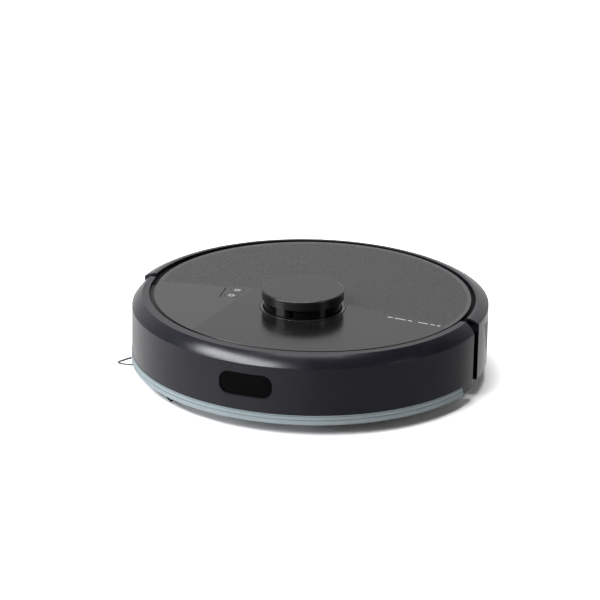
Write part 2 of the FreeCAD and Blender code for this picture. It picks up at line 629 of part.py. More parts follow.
def drive_wheel(side):
    """Arm, hub and tyre of one drive wheel, built on the left and mirrored if needed."""
    x_in = WHEEL_X - WHEEL_W / 2
    x_out = WHEEL_X + WHEEL_W / 2
    arm = fused([
        rod_x(9.0, 97, 104, ARM_PIVOT_Y, ARM_PIVOT_Z),
        rod_x(21.0, 97, 104, WHEEL_Y, WHEEL_R),
        box(97, 104, WHEEL_Y, ARM_PIVOT_Y, WHEEL_R - 1, ARM_PIVOT_Z + 8),
        rod_x(AXLE_R, 103, x_out - 2, WHEEL_Y, WHEEL_R),
    ])
    arm = arm.cut(rod_x(3.05, 90, 110, ARM_PIVOT_Y, ARM_PIVOT_Z))
    hub = rod_x(26.0, x_in, x_out, WHEEL_Y, WHEEL_R)
    hub_cuts = [
        rod_x(AXLE_R + 0.05, x_in - 5, x_out - 1.9, WHEEL_Y, WHEEL_R),
        rod_x(22.5, x_out - 4, x_out + 5, WHEEL_Y, WHEEL_R).cut(
            rod_x(9.0, x_out - 5, x_out + 6, WHEEL_Y, WHEEL_R)),
    ]
    for pocket in range(5):
        turn = math.radians(72 * pocket)
        hub_cuts.append(rod_x(5.0, x_in - 1, x_out + 1, WHEEL_Y + 15.5 * math.cos(turn),
                              WHEEL_R + 15.5 * math.sin(turn)))
    hub = cut_all(hub, hub_cuts)
    tyre = rod_x(WHEEL_R - 1.6, x_in, x_out, WHEEL_Y, WHEEL_R)
    lugs = []
    for lug in range(30):
        block = box(x_in + 0.6, x_out - 0.6, WHEEL_Y - 1.9, WHEEL_Y + 1.9,
                    2 * WHEEL_R - 3.2, 2 * WHEEL_R)
        block.rotate(Vector(WHEEL_X, WHEEL_Y, WHEEL_R), Vector(1, 0, 0), 12 * lug)
        lugs.append(block)
    limit = rod_x(WHEEL_R, x_in, x_out, WHEEL_Y, WHEEL_R)
    tyre = fused([tyre] + lugs).common(limit)
    tyre = tyre.cut(rod_x(26.0, x_in - 1, x_out + 1, WHEEL_Y, WHEEL_R))
    pieces = [arm, hub, tyre]
    if side == RIGHT:
        pieces = [mirrored(p) for p in pieces]
    return pieces


for side, word in ((LEFT, "left"), (RIGHT, "right")):
    arm, hub, tyre = drive_wheel(side)
    save("wheel_arm_" + word, arm)
    save("wheel_hub_" + word, hub)
    save("tyre_" + word, tyre)

pins = [
    rod_x(2.98, WELL_X0 - 2, WELL_X1 + 2, ARM_PIVOT_Y, ARM_PIVOT_Z),
    rod_x(2.98, -WELL_X1 - 2, -WELL_X0 + 2, ARM_PIVOT_Y, ARM_PIVOT_Z),
]
save("arm_pivots", group(pins))


def torsion_spring(side):
    """Four close coils round the pivot pin, with a straight leg up to the well's roof."""
    coil = Part.makeHelix(1.9, 7.6, 5.0)
    section = Part.Wire(Part.makeCircle(0.75, Vector(5.0, 0, 0), Vector(0, 1, 0)))
    body = Part.Wire(coil.Edges).makePipeShell([section], True, True)
    body.rotate(Vector(0, 0, 0), Vector(0, 1, 0), 90)
    body.translate(Vector(112.0, ARM_PIVOT_Y, ARM_PIVOT_Z))
    return body if side == LEFT else mirrored(body)


save("suspension_springs", group([torsion_spring(LEFT), torsion_spring(RIGHT)]))

# ---------------------------------------------------------------- caster
cup = disc(24.4, FLOOR_GAP, 42.0, 0, CASTER_Y)
cup_cuts = [disc(22.6, 0, 38.0, 0, CASTER_Y), disc(4.05, 30, 41.0, 0, CASTER_Y)]
save("caster_cup", cut_all(cup, cup_cuts))

axle_y = CASTER_Y + CASTER_TRAIL
fork = fused([
    disc(4.0, 30.0, 40.8, 0, CASTER_Y),
    disc(19.0, 31.5, 36.5, 0, CASTER_Y),
    box(-10.0, -7.4, axle_y - 5, axle_y + 5, 8.5, 32),
    box(7.4, 10.0, axle_y - 5, axle_y + 5, 8.5, 32),
    rod_x(2.0, -9.0, 9.0, axle_y, CASTER_R),
])
fork = fork.cut(rod_x(CASTER_R + 1.2, -7.4, 7.4, axle_y, CASTER_R).cut(
    rod_x(2.0, -9, 9, axle_y, CASTER_R)))
save("caster_fork", fork)
caster = rod_x(CASTER_R, -6.5, 6.5, axle_y, CASTER_R)
caster_edges = [e for e in caster.Edges if e.BoundBox.XLength < 0.01]
caster = caster.makeFillet(2.0, caster_edges)
save("caster_wheel", caster.cut(rod_x(2.05, -8, 8, axle_y, CASTER_R)))

# ---------------------------------------------------------------- side brush
brush_mid = Vector(SIDE_BRUSH_X, SIDE_BRUSH_Y, 0)
inward = math.degrees(math.atan2(-SIDE_BRUSH_Y, -SIDE_BRUSH_X))
gear_case = disc(13.4, PLATE_TOP, 35.0, SIDE_BRUSH_X, SIDE_BRUSH_Y)
gear_arm = box(0, 25, -11, 11, PLATE_TOP, 33.0)
gear_arm.rotate(Vector(0, 0, 0), UP, inward)
gear_arm.translate(brush_mid)
motor_spot = at(25.0, inward, 0, SIDE_BRUSH_X, SIDE_BRUSH_Y)
side_motor = disc(11.0, PLATE_TOP, 44.0, motor_spot.x, motor_spot.y)
gearmotor = fused([gear_case, gear_arm, side_motor])
gearmotor = gearmotor.cut(disc(3.05, 0, 26.0, SIDE_BRUSH_X, SIDE_BRUSH_Y))
save("side_brush_gearmotor", gearmotor)

hub_parts = [
    disc(10.5, 6.2, 11.2, SIDE_BRUSH_X, SIDE_BRUSH_Y),
    disc(3.0, 11.0, 25.0, SIDE_BRUSH_X, SIDE_BRUSH_Y),
]
ARM_REACH = 31.0
for arm_angle in SIDE_BRUSH_ANGLES:
    finger = box(0, ARM_REACH, -3.2, 3.2, 6.8, 10.2)
    tip_cut = box(ARM_REACH - 9, ARM_REACH + 3, -6, 6, 0, 7.8)
    tip_cut.rotate(Vector(ARM_REACH - 9, 0, 7.8), Vector(0, 1, 0), 6.0)
    finger = finger.cut(tip_cut)
    finger.rotate(Vector(0, 0, 0), UP, arm_angle)
    finger.translate(brush_mid)
    hub_parts.append(finger)
side_hub = fused(hub_parts)
side_hub = side_hub.cut(disc(3.4, 0, 7.6, SIDE_BRUSH_X, SIDE_BRUSH_Y))
save("side_brush_hub", side_hub)
hub_screw = disc(3.2, 5.7, 7.5, SIDE_BRUSH_X, SIDE_BRUSH_Y)
hub_screw = hub_screw.cut(
    box(SIDE_BRUSH_X - 2, SIDE_BRUSH_X + 2, SIDE_BRUSH_Y - 0.4, SIDE_BRUSH_Y + 0.4, 0, 6.6))
save("side_brush_screw", hub_screw)

bristles = []
for arm_angle in SIDE_BRUSH_ANGLES:
    for k in range(-2, 3):
        root = at(ARM_REACH + 0.3, arm_angle + 2.2 * k, 9.0, SIDE_BRUSH_X, SIDE_BRUSH_Y)
        tip = at(SIDE_BRUSH_REACH - 0.8 - 1.2 * abs(k), arm_angle + 3.4 * k, 1.6,
                 SIDE_BRUSH_X, SIDE_BRUSH_Y)
        bristles.append(rod(root, tip, 0.6))
save("side_brush_bristles", group(bristles))

# ---------------------------------------------------------------- main brush
HOUSING_T = 2.0
housing = box(-BRUSH_HALF_L - 5, BRUSH_HALF_L + 5, MOUTH_Y0 - 2, MOUTH_Y1 + 2, PLATE_TOP, 46.0)
housing_cuts = [
    rod_x(BRUSH_R + 1.4, -BRUSH_HALF_L - 0.6, BRUSH_HALF_L + 0.6, BRUSH_Y, BRUSH_Z),
    box(-BRUSH_HALF_L - 0.6, BRUSH_HALF_L + 0.6, MOUTH_Y0 + 0.2, MOUTH_Y1 - 0.2, 0, BRUSH_Z),
    box(-30, 30, BRUSH_Y, BIN_Y0, 26, 40),
    rod_x(3.05, -BRUSH_HALF_L - 10, -BRUSH_HALF_L + 1, BRUSH_Y, BRUSH_Z),
    rod_x(3.05, BRUSH_HALF_L - 1, BRUSH_HALF_L + 3.2, BRUSH_Y, BRUSH_Z),
]
throat = box(-34, 34, MOUTH_Y1 + 1.9, BIN_Y0 - 4.1, 22, 44)
save("brush_housing", cut_all(fused([housing, throat]), housing_cuts))

BRUSH_PULLEY_R = 5.5
BRUSH_MOTOR_PULLEY_R = 4.0
BRUSH_MOTOR_Y = -14.0
BRUSH_MOTOR_Z = 33.0
core = fused([
    rod_x(BRUSH_CORE_R, -BRUSH_HALF_L, BRUSH_HALF_L, BRUSH_Y, BRUSH_Z),
    rod_x(3.0, -BRUSH_HALF_L - 6, BRUSH_HALF_L + 3, BRUSH_Y, BRUSH_Z),
    rod_x(BRUSH_PULLEY_R, -90.0, -85.6, BRUSH_Y, BRUSH_Z),
])
save("main_brush_core", core)
blades = []
for x0, x1, lead in ((-79.5, -31.0, 0.0), (-25.0, 25.0, 30.0), (31.0, 79.5, 0.0)):
    for k in range(4):
        fin = box(x0, x1, -0.9, 0.9, BRUSH_CORE_R + 0.05, BRUSH_R)
        fin.rotate(Vector(0, 0, 0), Vector(1, 0, 0), lead + 90 * k)
        fin.translate(Vector(0, BRUSH_Y, BRUSH_Z))
        blades.append(fin)
save("main_brush_blades", group(blades))
save("brush_motor", rod_x(12.0, -84.5, -40.0, BRUSH_MOTOR_Y, BRUSH_MOTOR_Z).cut(
    rod_x(2.05, -90, -74, BRUSH_MOTOR_Y, BRUSH_MOTOR_Z)))
save("brush_motor_pulley", fused([
    rod_x(2.0, -86.0, -76.0, BRUSH_MOTOR_Y, BRUSH_MOTOR_Z),
    rod_x(BRUSH_MOTOR_PULLEY_R, -90.0, -85.6, BRUSH_MOTOR_Y, BRUSH_MOTOR_Z),
]))
# The belt is built flat and then stood up in the plane of the two pulleys.
brush_belt = belt(Vector(BRUSH_Y, BRUSH_Z, 0), BRUSH_PULLEY_R,
                  Vector(BRUSH_MOTOR_Y, BRUSH_MOTOR_Z, 0), BRUSH_MOTOR_PULLEY_R, 0.35, 0.8, 3.4)
brush_belt.rotate(Vector(0, 0, 0), Vector(1, 1, 1), 120)
brush_belt.translate(Vector(-89.5, 0, 0))
save("brush_belt", brush_belt)

STRAP_X = 28.0
guard = box(-88, 88, 3, 57, 9.5, 11.9).cut(box(-82, 82, 10, 50, 5, 20))
straps = []
for strap_x in (-STRAP_X, STRAP_X):
    hoop = rod_x(15.2, strap_x - 1.2, strap_x + 1.2, BRUSH_Y, BRUSH_Z)
    hoop = hoop.cut(rod_x(12.8, strap_x - 2, strap_x + 2, BRUSH_Y, BRUSH_Z))
    straps.append(hoop.common(box(-90, 90, 0, 60, 0, 11.9)))
    straps.append(box(strap_x - 1.2, strap_x + 1.2, 9, 19.5, 9.5, 11.9))
    straps.append(box(strap_x - 1.2, strap_x + 1.2, 40.5, 51, 9.5, 11.9))
save("brush_guard", fused([guard] + straps))

# ---------------------------------------------------------------- dust bin
bay = box(-BIN_HALF_W - 3.5, BIN_HALF_W + 3.5, BIN_Y0 - 4, 170, PLATE_TOP, BIN_Z1 + 3)
bay = bay.common(disc(WALL_IN_R - 0.3, 0, 100))
bay_cuts = [
    box(-BIN_HALF_W - 1, BIN_HALF_W + 1, BIN_Y0 - 1, 200, 0, BIN_Z1 + 1),
    box(-30, 30, 40, 70, 26, 40),
    box(BIN_HALF_W - 5, BIN_HALF_W + 10, 89, 113, 30, 52),
]
save("bin_bay", cut_all(bay, bay_cuts))

bin_full = box(-BIN_HALF_W, BIN_HALF_W, BIN_Y0, 200, BIN_Z0, BIN_Z1 - 3)
bin_full = bin_full.common(disc(BODY_R, 0, 100))
hollow = box(-BIN_HALF_W + 2, BIN_HALF_W - 2, BIN_Y0 + 2, 200, BIN_Z0 + 2, BIN_Z1)
hollow = hollow.common(disc(BODY_R - 14, 0, 100))
LATCH_HALF_W = 14.0
LATCH_Z0 = 40.0
LATCH_Z1 = 50.0
bin_cuts = [
    hollow,
    box(-30, 30, 40, 70, 26, 40),
    box(BIN_HALF_W - 10, BIN_HALF_W + 2, 89, 113, 30, 52),
    box(-LATCH_HALF_W - 0.4, LATCH_HALF_W + 0.4, 163.6, 200, LATCH_Z0 - 0.4, LATCH_Z1 + 0.4),
    box(-40, 40, 166, 200, 20, 30),
]
save("dust_bin", cut_all(bin_full, bin_cuts))
lid = box(-BIN_HALF_W, BIN_HALF_W, BIN_Y0, 200, BIN_Z1 - 2.9, BIN_Z1)
save("bin_lid", lid.common(disc(BODY_R, 0, 100)))
LATCH_TRAVEL = 2.0
latch = box(-LATCH_HALF_W, LATCH_HALF_W, 166.0, 200, LATCH_Z0, LATCH_Z1)
save("bin_latch_button", latch.common(disc(BODY_R - 0.3, 0, 100)))

FILTER_X0 = BIN_HALF_W - 17
FILTER_X1 = BIN_HALF_W - 3
pleats = [
    box(FILTER_X0, FILTER_X1, 88, 91, 28, 54),
    box(FILTER_X0, FILTER_X1, 111, 114, 28, 54),
    box(FILTER_X0, FILTER_X0 + 2, 88, 114, 28, 54),
]
for k in range(6):
    pleat_y = 92.2 + 3.2 * k
    pleats.append(box(FILTER_X0 + 1, FILTER_X1, pleat_y, pleat_y + 1.4, 28, 54))
save("bin_filter", fused(pleats))

# ---------------------------------------------------------------- blower
VOLUTE_R = 24.5
IMPELLER_R = 19.5
volute = fused([
    disc(VOLUTE_R, PLATE_TOP, 46.0, BLOWER_X, BLOWER_Y),
    box(BLOWER_X + 4, BLOWER_X + VOLUTE_R, BLOWER_Y - 26, BLOWER_Y, PLATE_TOP, 46.0),
    box(BLOWER_X + 23.5, BLOWER_X + 40, BLOWER_Y - 34, BLOWER_Y - 16, PLATE_TOP + 4, 44.0),
    box(79.0, BLOWER_X, 87, 115, 30, 46.0),
])
volute_cuts = [
    disc(VOLUTE_R - 2.2, PLATE_TOP + 2, 44.0, BLOWER_X, BLOWER_Y),
    box(BLOWER_X + 6, BLOWER_X + VOLUTE_R - 2, BLOWER_Y - 24, BLOWER_Y, PLATE_TOP + 2.5, 43.5),
    box(BLOWER_X + 15, BLOWER_X + 38, BLOWER_Y - 36, BLOWER_Y - 18, PLATE_TOP + 6, 42.0).cut(
        box(BLOWER_X, BLOWER_X + 22, BLOWER_Y - 40, BLOWER_Y - 24, 0, 60)),
    box(78.0, BLOWER_X, 89.5, 112.5, 32.5, 43.5),
    disc(3.5, 40, 50, BLOWER_X, BLOWER_Y),
]
save("blower_housing", cut_all(volute, volute_cuts))
blade_set = [
    disc(IMPELLER_R, 20.0, 21.6, BLOWER_X, BLOWER_Y),
    disc(8.0, 21.4, 36.0, BLOWER_X, BLOWER_Y),
    disc(2.5, 35.8, 50.0, BLOWER_X, BLOWER_Y),
]
for k in range(7):
    vane = box(7, 22, -0.6, 0.6, 21.4, 31.0)
    vane.rotate(Vector(7, 0, 0), UP, 28.0)
    vane.rotate(Vector(0, 0, 0), UP, 360.0 / 7 * k)
    vane.translate(Vector(BLOWER_X, BLOWER_Y, 0))
    blade_set.append(vane)
impeller = fused(blade_set).common(disc(IMPELLER_R, 0, 60, BLOWER_X, BLOWER_Y))
save("impeller", impeller)
save("blower_motor", disc(19.0, 46.2, 66.0, BLOWER_X, BLOWER_Y).cut(
    disc(2.55, 40, 51.0, BLOWER_X, BLOWER_Y)))

# ---------------------------------------------------------------- battery and boards
cells = []
for cell_row in range(2):
    for cell in range(2):
        x0 = BATTERY_X0 + 1 + cell * 70
        cells.append(rod_x(9.0, x0, x0 + 68, BATTERY_Y0 + 10 + 19 * cell_row, PLATE_TOP + 11.2))
wrap = box(BATTERY_X0 + 0.5, BATTERY_X1 - 0.5, BATTERY_Y0 + 10, BATTERY_Y0 + 29,
           PLATE_TOP + 2.2, PLATE_TOP + 20.2)
save("battery_pack", fused([wrap] + cells))
cover = box(BATTERY_X0 - 2.7, BATTERY_X1 + 2.7, BATTERY_Y0 - 2.7, BATTERY_Y1 + 2.7,
            FLOOR_GAP, PLATE_TOP)
cover_notch = box(-12, 12, BATTERY_Y0 - 3, BATTERY_Y0 + 2, 0, FLOOR_GAP + 1.2)
save("battery_cover", cover.cut(cover_notch))

board = [box(-72, 44, -52, 40, 50.0, 51.6)]
chips = [(-50, -30, 14, 14, 1.6), (-20, 10, 10, 12, 1.4), (20, -10, 8, 8, 1.4),
         (-60, 20, 7, 16, 6.0), (30, 28, 18, 7, 6.5), (-30, -44, 22, 6, 6.0)]
for chip_x, chip_y, chip_w, chip_d, chip_h in chips:
    board.append(box(chip_x - chip_w / 2, chip_x + chip_w / 2, chip_y - chip_d / 2,
                     chip_y + chip_d / 2, 51.4, 51.6 + chip_h))
save("main_board", fused(board))

speaker = fused([
    disc(19.0, PLATE_TOP, PLATE_TOP + 5, SPEAKER_X, SPEAKER_Y),
    disc(11.0, PLATE_TOP + 4, PLATE_TOP + 18, SPEAKER_X, SPEAKER_Y),
])
speaker = speaker.cut(disc(16.0, 0, PLATE_TOP + 2, SPEAKER_X, SPEAKER_Y))
save("speaker", speaker)
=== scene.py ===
# %% [markdown]
# # A robot vacuum, piece by piece
#
# The machine was designed first as solid parts that turn, slide and spring.  This lesson
# dresses those parts: it gives every moulding its finish and adds what a solid model
# leaves plain, such as the studs on the lid, the printed key symbols and the
# bristles.  Everything is in metres, and the machine drives towards -Y.

# %% Load the fixed frame
import json
import math

import bpy
import numpy as np
from mathutils import Matrix, Vector


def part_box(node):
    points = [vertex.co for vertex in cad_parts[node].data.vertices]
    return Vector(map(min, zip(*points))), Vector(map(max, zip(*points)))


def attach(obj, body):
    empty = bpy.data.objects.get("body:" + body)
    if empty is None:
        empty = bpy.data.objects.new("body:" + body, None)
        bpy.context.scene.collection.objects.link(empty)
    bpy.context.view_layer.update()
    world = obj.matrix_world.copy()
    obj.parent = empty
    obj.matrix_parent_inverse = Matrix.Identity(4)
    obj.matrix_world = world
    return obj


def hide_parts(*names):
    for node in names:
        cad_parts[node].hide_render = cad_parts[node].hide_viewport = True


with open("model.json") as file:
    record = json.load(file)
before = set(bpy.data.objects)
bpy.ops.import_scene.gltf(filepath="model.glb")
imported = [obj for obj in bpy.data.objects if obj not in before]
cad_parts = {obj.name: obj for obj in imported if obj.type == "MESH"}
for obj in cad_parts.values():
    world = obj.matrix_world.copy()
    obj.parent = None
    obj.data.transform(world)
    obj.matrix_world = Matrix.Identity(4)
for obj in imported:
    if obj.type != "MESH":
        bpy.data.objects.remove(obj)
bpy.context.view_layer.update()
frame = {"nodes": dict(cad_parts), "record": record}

nodes = frame["nodes"]
MM = 0.001

# %% [markdown]
# ## The camera
#
# A long lens from three metres away keeps the round body free of distortion, as a
# catalogue view does.  It could be aimed with a constraint, but a matrix made of three
# directions says the same with no hidden state: to the right, up, and backwards.

# %% Camera
camera_data = bpy.data.cameras.new("catalogue_camera")
camera_data.sensor_width = 36.0
camera_data.lens = 182.52
camera_data.clip_start = 0.1
camera_data.clip_end = 50.0
camera = bpy.data.objects.new("catalogue_camera", camera_data)
bpy.context.scene.collection.objects.link(camera)
bpy.context.scene.camera = camera


def aim(distance, elevation, azimuth, target_height, yaw, pitch, roll):
    """Camera matrix: look at a point over the origin from an azimuth and elevation, then
    nudge the view sideways by yaw and up by pitch, and turn it about its own axis by roll."""
    e = math.radians(elevation)
    ahead = np.array([0.0, math.cos(e), -math.sin(e)])
    right = np.array([1.0, 0.0, 0.0])
    up = np.cross(right, ahead)
    sight = ahead + math.tan(math.radians(yaw)) * right + math.tan(math.radians(pitch)) * up
    sight /= np.linalg.norm(sight)
    level = np.cross(sight, [0.0, 0.0, 1.0])
    level /= np.linalg.norm(level)
    rise = np.cross(level, sight)
    c, s = math.cos(math.radians(roll)), math.sin(math.radians(roll))
    axes = np.stack([c * level + s * rise, -s * level + c * rise, -sight], axis=1)
    place = -distance * ahead + np.array([0.0, 0.0, target_height])
    turn = Matrix.Rotation(math.radians(azimuth), 4, "Z")
    local = Matrix.Translation(place.tolist()) @ Matrix(axes.tolist()).to_4x4()
    return turn @ local


camera.matrix_world = aim(distance=3.0, elevation=20.83, azimuth=20.0, target_height=0.039,
                          yaw=-0.195, pitch=0.589, roll=1.046)
print("camera at", [round(v, 3) for v in camera.matrix_world.translation])

# %% [markdown]
# ## Light and floor
#
# Glossy black mouldings show the room more than themselves, so the room is the real
# work: a bright wall behind, a dim side in front, and soft boxes overhead.  A world
# shader that fades from dim to bright with direction makes the walls.

# %% World
scene = bpy.context.scene
scene.view_settings.view_transform = "Standard"
scene.view_settings.look = "None"


def link(tree, a, b):
    """Join an output to an input."""
    tree.links.new(a, b)


def sums(tree, operation, *values):
    """A Math node over sockets or plain numbers; more than two values are chained."""
    result = values[0]
    for value in values[1:]:
        step = tree.nodes.new("ShaderNodeMath")
        step.operation = operation
        for socket, source in zip(step.inputs, (result, value)):
            if isinstance(source, (int, float)):
                socket.default_value = source
            else:
                link(tree, source, socket)
        result = step.outputs[0]
    return result


LOBE_TOP = 0.93
HORIZON = (-0.06, 0.04)
# each lobe: azimuth, where its ramp starts, low and high strength
BACK_WALL = (114.0, 0.0, 0.05, 1.15)
LEFT_FLOOR = (200.0, -0.40, 0.58, 1.75)
BACK_FLOOR = (80.0, 0.74, 0.0, 0.62)


def lobe(tree, direction, azimuth, start, low, high):
    """Strength by direction: its dot product with the way of the azimuth goes through a
    smooth ramp from the start value to the lobe's top, which stand for the low and the
    high strength."""
    dot = tree.nodes.new("ShaderNodeVectorMath")
    dot.operation = "DOT_PRODUCT"
    a = math.radians(azimuth)
    dot.inputs[1].default_value = (math.cos(a), math.sin(a), 0.0)
    link(tree, direction, dot.inputs[0])
    ramp = tree.nodes.new("ShaderNodeMapRange")
    ramp.interpolation_type = "SMOOTHSTEP"
    limits = {"From Min": start, "From Max": LOBE_TOP, "To Min": low, "To Max": high}
    for key, value in limits.items():
        ramp.inputs[key].default_value = value
    link(tree, dot.outputs["Value"], ramp.inputs["Value"])
    return ramp.outputs["Result"]


def room():
    """World light: above the horizon the bright back wall, and below it, where glossy
    rays look past the floor, the bright floor at the left and at the back."""
    world = bpy.data.worlds.new("studio_room")
    scene.world = world
    world.use_nodes = True
    tree = world.node_tree
    tree.nodes.clear()
    where = tree.nodes.new("ShaderNodeTexCoord").outputs["Generated"]
    spot = tree.nodes.new("ShaderNodeSeparateXYZ")
    horizon = tree.nodes.new("ShaderNodeMapRange")
    horizon.inputs["From Min"].default_value, horizon.inputs["From Max"].default_value = HORIZON
    join = tree.nodes.new("ShaderNodeMix")
    shade = tree.nodes.new("ShaderNodeBackground")
    out = tree.nodes.new("ShaderNodeOutputWorld")
    link(tree, where, spot.inputs[0])
    link(tree, spot.outputs["Z"], horizon.inputs["Value"])
    link(tree, horizon.outputs["Result"], join.inputs[0])
    below = sums(tree, "ADD", lobe(tree, where, *LEFT_FLOOR), lobe(tree, where, *BACK_FLOOR))
    link(tree, below, join.inputs[2])
    link(tree, lobe(tree, where, *BACK_WALL), join.inputs[3])
    link(tree, join.outputs[0], shade.inputs["Strength"])
    link(tree, shade.outputs["Background"], out.inputs["Surface"])
    return world


print("world", room().name)

# %% [markdown]
# ## Lamps and floor
#
# Four soft boxes light the machine.  A wide one overhead whitens the floor, one at the
# front left runs along the bevel as a bright streak, and two low ones lift the sides.
# The floor is hidden from glossy rays, so that the gloss shows the world's lobes instead.

# %% Lamps and floor
def lamp(name, place, target, width, depth, watts, colour=(1.0, 1.0, 1.0)):
    """A soft box: an area lamp at a place, turned to face a target."""
    data = bpy.data.lights.new(name, "AREA")
    data.shape = "RECTANGLE"
    data.size = width
    data.size_y = depth
    data.energy = watts
    data.color = colour
    box = bpy.data.objects.new(name, data)
    scene.collection.objects.link(box)
    box.location = place
    box.rotation_euler = (Vector(target) - Vector(place)).to_track_quat("-Z", "Y").to_euler()
    return box


def around(radius, azimuth, height):
    """A place at a distance from the body's axis."""
    a = math.radians(azimuth)
    return (radius * math.cos(a), radius * math.sin(a), height)


MIDDLE = (0, 0, 0.05)
COOL, COOLER = (0.95, 0.98, 1.0), (0.93, 0.96, 1.0)
lamp("overhead_box", around(0.1, 110.0, 2.2), (0, 0, 0), 1.1, 1.1, 62.0)
lamp("bevel_box", around(1.28, 236.0, 1.32), MIDDLE, 1.5, 0.5, 60.0, COOL)
lamp("left_box", around(1.6, 222.0, 0.45), MIDDLE, 0.8, 0.4, 20.0, COOLER)
lamp("right_box", around(1.6, 350.0, 0.6), MIDDLE, 0.4, 0.9, 4.0)


def plain_floor(half):
    """A large square floor at height zero."""
    mesh = bpy.data.meshes.new("studio_floor")
    corners = [(-half, -half, 0), (half, -half, 0), (half, half, 0), (-half, half, 0)]
    mesh.from_pydata(corners, [], [(0, 1, 2, 3)])
    floor = bpy.data.objects.new("studio_floor", mesh)
    scene.collection.objects.link(floor)
    paint = bpy.data.materials.new("studio_floor")
    paint.use_nodes = True
    shade = paint.node_tree.nodes["Principled BSDF"]
    shade.inputs["Base Color"].default_value = (0.88, 0.88, 0.88, 1.0)
    shade.inputs["Roughness"].default_value = 0.9
    shade.inputs["Specular IOR Level"].default_value = 0.0
    mesh.materials.append(paint)
    floor.visible_glossy = False
    return floor


print("floor", plain_floor(half=12.0).name, "with", len(bpy.data.lights), "lamps")

# %% [markdown]
# ## Moulded plastic
#
# A moulding is never one flat colour: the tool leaves a fine spark grain, and handling
# leaves slightly polished patches.  One builder makes them all: a slow noise moves the
# colour and the gloss a little, and a fine noise raises the grain as bump.  The small
# helpers come first, since every later finish is built from them too.

# %% Helpers for finishes
def node_at(tree, kind, **inputs):
    """A shader node with some inputs set."""
    node = tree.nodes.new(kind)
    for key, value in inputs.items():
        node.inputs[key.replace("_", " ")].default_value = value
    return node


def ranged(tree, source, low, high):
    """Spread a 0 to 1 value over a range."""
    spread = node_at(tree, "ShaderNodeMapRange", From_Min=0.3, From_Max=0.7)
    spread.inputs["To Min"].default_value = low
    spread.inputs["To Max"].default_value = high
    link(tree, source, spread.inputs["Value"])
    return spread.outputs["Result"]


def eased(tree, source, low, high):
    """A smooth 0 to 1 step of a value between two limits."""
    ramp = tree.nodes.new("ShaderNodeMapRange")
    ramp.interpolation_type = "SMOOTHSTEP"
    ramp.inputs["From Min"].default_value = low
    ramp.inputs["From Max"].default_value = high
    link(tree, source, ramp.inputs["Value"])
    return ramp.outputs["Result"]


def mixed(tree, share, first, second):
    """A colour that goes from first to second with a 0 to 1 share."""
    mix = tree.nodes.new("ShaderNodeMix")
    mix.data_type = "RGBA"
    for socket, colour in ((mix.inputs[6], first), (mix.inputs[7], second)):
        if isinstance(colour, tuple):
            socket.default_value = (*colour, 1.0)
        else:
            link(tree, colour, socket)
    link(tree, share, mix.inputs[0])
    return mix.outputs[2]


def grey(v, warm=0.0):
    """A near-neutral colour; warm leans it to red."""
    return (v * (1 + warm), v, v * (1 - warm))


def position(tree):
    """The x, y and z sockets of a point on the piece."""
    spot = tree.nodes.new("ShaderNodeSeparateXYZ")
    link(tree, tree.nodes.new("ShaderNodeTexCoord").outputs["Object"], spot.inputs[0])
    return spot.outputs


# %% Moulded plastic
PATCH_SIZE = 0.03
GRAIN_SIZE = 0.0006
GRAIN_DEPTH = 0.00003


def moulded(name, dark, light, gloss, grain=GRAIN_SIZE, depth=GRAIN_DEPTH, specular=0.5,
            metallic=0.0):
    """Plastic, rubber or metal: colour runs from dark to light and roughness over the
    gloss pair with a patchy noise; a fine noise of the grain size gives bump."""
    finish = bpy.data.materials.new(name)
    finish.use_nodes = True
    tree = finish.node_tree
    shade = tree.nodes["Principled BSDF"]
    shade.inputs["Specular IOR Level"].default_value = specular
    shade.inputs["Metallic"].default_value = metallic
    where = tree.nodes.new("ShaderNodeTexCoord").outputs["Object"]
    slow = node_at(tree, "ShaderNodeTexNoise", Scale=1.0 / PATCH_SIZE, Detail=4.0)
    fine = node_at(tree, "ShaderNodeTexNoise", Scale=1.0 / grain, Detail=2.0)
    link(tree, where, slow.inputs["Vector"])
    link(tree, where, fine.inputs["Vector"])
    blend = tree.nodes.new("ShaderNodeMath")
    blend.operation = "ADD"
    blend.use_clamp = True
    link(tree, ranged(tree, slow.outputs["Fac"], 0.0, 0.75), blend.inputs[0])
    link(tree, ranged(tree, fine.outputs["Fac"], 0.0, 0.25), blend.inputs[1])
    link(tree, mixed(tree, blend.outputs[0], dark, light), shade.inputs["Base Color"])
    link(tree, ranged(tree, slow.outputs["Fac"], *gloss), shade.inputs["Roughness"])
    bump = node_at(tree, "ShaderNodeBump", Strength=1.0, Distance=depth)
    link(tree, fine.outputs["Fac"], bump.inputs["Height"])
    link(tree, bump.outputs["Normal"], shade.inputs["Normal"])
    return finish


# %% [markdown]
# ## The lid
#
# The real lid is one moulding with three fields: a field of small diamond studs over the
# rear, and two smooth facets in front that meet at a shallow ridge.  Straight lines
# divide the fields.  The studs are meshes, made further down; the finish paints their
# tops lighter as a painted highlight and their feet darker as painted shade, paints the
# right facet a little lighter as painted light, and makes each facet lean a little by bump.

# %% Lid finish
# a line across the lid is its slope and its y where x is zero
LEFT_LINE = (0.171, 0.00165)
RIGHT_LINE = (-0.205, -0.0067)
# half a stud's length along x, and how many times its width that is
STUD_HALF = 0.0030 * 0.62
STUD_ASPECT = 1.15
AHEAD_LEAN, SIDE_LEAN, STUD_RELIEF = -0.010, -0.045, 0.05
SPECULAR_SMOOTH, SPECULAR_FOOT, SPECULAR_GAIN = 0.31, 0.12, 0.36


def line_at(tree, x, slope, start):
    """The y of a straight line at x: slope times x, plus its start."""
    return sums(tree, "ADD", sums(tree, "MULTIPLY", x, slope), start)


